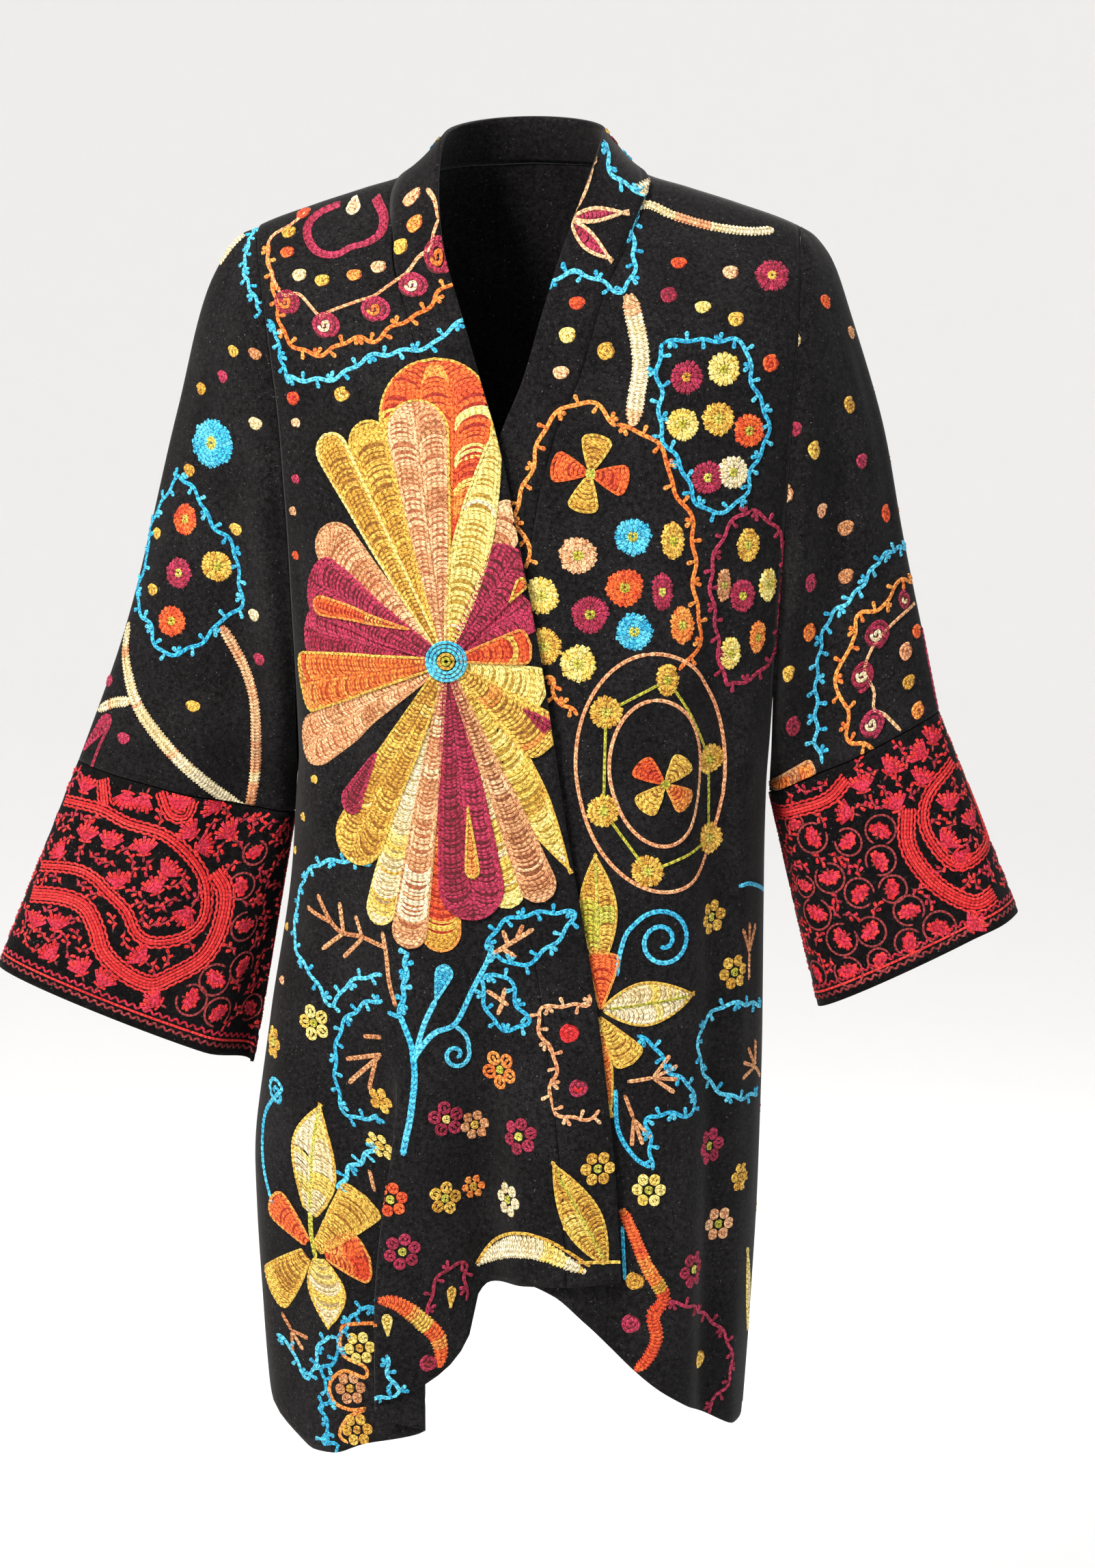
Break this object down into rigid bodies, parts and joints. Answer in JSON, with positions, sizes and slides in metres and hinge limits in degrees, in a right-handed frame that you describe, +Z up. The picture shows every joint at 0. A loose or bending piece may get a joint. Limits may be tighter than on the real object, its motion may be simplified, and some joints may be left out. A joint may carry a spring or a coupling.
{
  "type": "embroidered jacket",
  "caption": "Open-front black wool jacket, long, with wide dropped sleeves, deep flared cuffs, a narrow neck and front band, pointed side hems and all-over chain-stitch embroidery.",
  "frame": {"origin": "where the wearer's shoulders carry the jacket: midway between the two neck points, at shoulder height", "axes": "+Z up, the front faces -Y, the wearer's left is at +X"},
  "size_m": [0.787, 0.2517, 1.0102],
  "materials": {
    "ground": "felted wool with chain-stitch embroidery",
    "band": "felted wool with chain-stitch embroidery",
    "cuff": "felted wool with chain-stitch embroidery"
  },
  "bodies": {
    "root": {"front_right": "ground", "front_left": "ground", "back": "ground", "sleeve_right": "ground", "sleeve_left": "ground", "cuff_right": "cuff", "cuff_left": "cuff", "band_right": "band", "band_left": "band", "band_neck": "band"}
  },
  "joints": []
}
